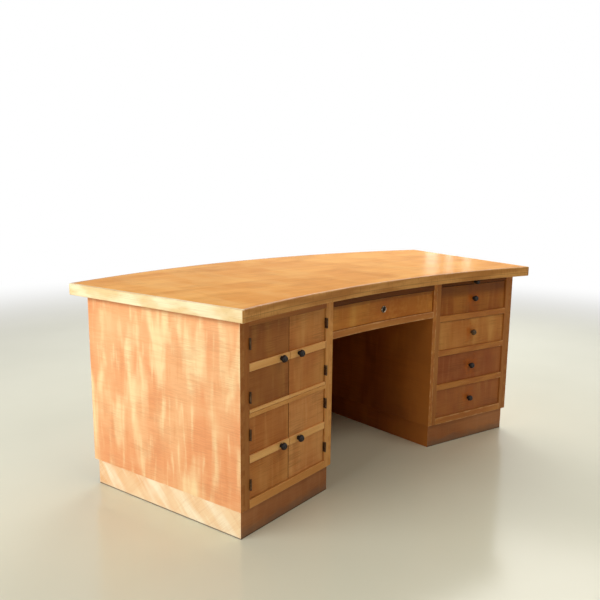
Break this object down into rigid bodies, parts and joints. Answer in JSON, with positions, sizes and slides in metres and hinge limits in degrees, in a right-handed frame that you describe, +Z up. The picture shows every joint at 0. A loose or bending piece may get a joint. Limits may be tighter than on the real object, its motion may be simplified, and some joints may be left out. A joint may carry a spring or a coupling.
{
  "type": "curved pedestal desk",
  "caption": "Curved wooden kneehole desk: concave working edge, cupboard pedestal with paired doors, drawer pedestal with a writing slide, and a lockable centre drawer.",
  "frame": {"origin": "on the floor at the middle of the desk's bounding box", "axes": "+X to the sitter's right along the desk, +Y from the sitter to the rear, +Z up"},
  "size_m": [1.948, 0.9532, 0.76],
  "materials": {
    "top_veneer": "gloss lacquer",
    "lipping": "satin lacquer",
    "side_veneer": "satin lacquer",
    "front_veneer": "satin lacquer",
    "frame_wood": "satin lacquer",
    "plinth_veneer": "worn satin lacquer",
    "inner_wood": "plain planed",
    "knob_black": "dark patinated",
    "hinge_iron": "black japanned",
    "lock_brass": "polished",
    "lock_steel": "brushed"
  },
  "bodies": {
    "carcass": {"desktop_panel": "top_veneer", "desktop_lippings": "lipping", "left_outer_side": "side_veneer", "right_outer_side": "side_veneer", "left_inner_side": "side_veneer", "right_inner_side": "side_veneer", "pedestal_backs": "side_veneer", "modesty_panel": "side_veneer", "left_plinth": "plinth_veneer", "right_plinth": "plinth_veneer", "rear_plinth": "plinth_veneer", "front_stiles": "frame_wood", "cupboard_rails": "frame_wood", "drawer_dividers": "frame_wood", "kneehole_top_rail": "frame_wood", "apron_rail": "frame_wood", "bottom_boards": "inner_wood", "cupboard_shelf": "inner_wood", "dust_boards": "inner_wood", "drawer_guides": "inner_wood", "slide_bearers": "inner_wood", "centre_drawer_runners": "inner_wood", "top_fixing_blocks": "inner_wood", "hinge_frame_leaves": "hinge_iron", "hinge_pins": "hinge_iron"},
    "drawer_1": {"drawer_1_front": "front_veneer", "drawer_1_box": "inner_wood", "drawer_1_knob": "knob_black"},
    "drawer_2": {"drawer_2_front": "front_veneer", "drawer_2_box": "inner_wood", "drawer_2_knob": "knob_black"},
    "drawer_3": {"drawer_3_front": "front_veneer", "drawer_3_box": "inner_wood", "drawer_3_knob": "knob_black"},
    "drawer_4": {"drawer_4_front": "front_veneer", "drawer_4_box": "inner_wood", "drawer_4_knob": "knob_black"},
    "writing_slide": {"writing_slide_board": "frame_wood", "writing_slide_knob": "knob_black"},
    "centre_drawer": {"centre_drawer_front": "front_veneer", "centre_drawer_box": "inner_wood", "lock_escutcheon": "lock_brass", "lock_case": "lock_steel"},
    "lock_bolt": {"lock_bolt": "lock_steel"},
    "upper_left_door": {"upper_left_door_panel": "front_veneer", "upper_left_door_strips": "frame_wood", "upper_left_door_knob": "knob_black", "upper_left_door_hinge_leaves": "hinge_iron"},
    "upper_right_door": {"upper_right_door_panel": "front_veneer", "upper_right_door_strips": "frame_wood", "upper_right_door_knob": "knob_black", "upper_right_door_hinge_leaves": "hinge_iron"},
    "lower_left_door": {"lower_left_door_panel": "front_veneer", "lower_left_door_strips": "frame_wood", "lower_left_door_knob": "knob_black", "lower_left_door_hinge_leaves": "hinge_iron"},
    "lower_right_door": {"lower_right_door_panel": "front_veneer", "lower_right_door_strips": "frame_wood", "lower_right_door_knob": "knob_black", "lower_right_door_hinge_leaves": "hinge_iron"}
  },
  "joints": [
    {"name": "drawer_1_slide", "type": "slide", "parent": "carcass", "child": "drawer_1", "axis": [-0.1645, -0.9864, 0], "range_m": [0, 0.4]},
    {"name": "drawer_2_slide", "type": "slide", "parent": "carcass", "child": "drawer_2", "axis": [-0.1645, -0.9864, 0], "range_m": [0, 0.4]},
    {"name": "drawer_3_slide", "type": "slide", "parent": "carcass", "child": "drawer_3", "axis": [-0.1645, -0.9864, 0], "range_m": [0, 0.4]},
    {"name": "drawer_4_slide", "type": "slide", "parent": "carcass", "child": "drawer_4", "axis": [-0.1645, -0.9864, 0], "range_m": [0, 0.4]},
    {"name": "writing_slide_pull", "type": "slide", "parent": "carcass", "child": "writing_slide", "axis": [-0.1645, -0.9864, 0], "range_m": [0, 0.4]},
    {"name": "centre_drawer_slide", "type": "slide", "parent": "carcass", "child": "centre_drawer", "axis": [0, -1, 0], "range_m": [0, 0.26]},
    {"name": "lock_bolt_throw", "type": "slide", "parent": "centre_drawer", "child": "lock_bolt", "axis": [0, 0, 1], "range_m": [0, 0.008]},
    {"name": "upper_left_door_hinge", "type": "hinge", "parent": "carcass", "child": "upper_left_door", "pos_m": [-0.72086, -0.41614, 0.4145], "axis": [0, 0, -1], "range_deg": [0, 110]},
    {"name": "upper_right_door_hinge", "type": "hinge", "parent": "carcass", "child": "upper_right_door", "pos_m": [-0.33214, -0.3513, 0.4145], "axis": [0, 0, 1], "range_deg": [0, 90]},
    {"name": "lower_left_door_hinge", "type": "hinge", "parent": "carcass", "child": "lower_left_door", "pos_m": [-0.72086, -0.41614, 0.1275], "axis": [0, 0, -1], "range_deg": [0, 110]},
    {"name": "lower_right_door_hinge", "type": "hinge", "parent": "carcass", "child": "lower_right_door", "pos_m": [-0.33214, -0.3513, 0.1275], "axis": [0, 0, 1], "range_deg": [0, 105]}
  ]
}
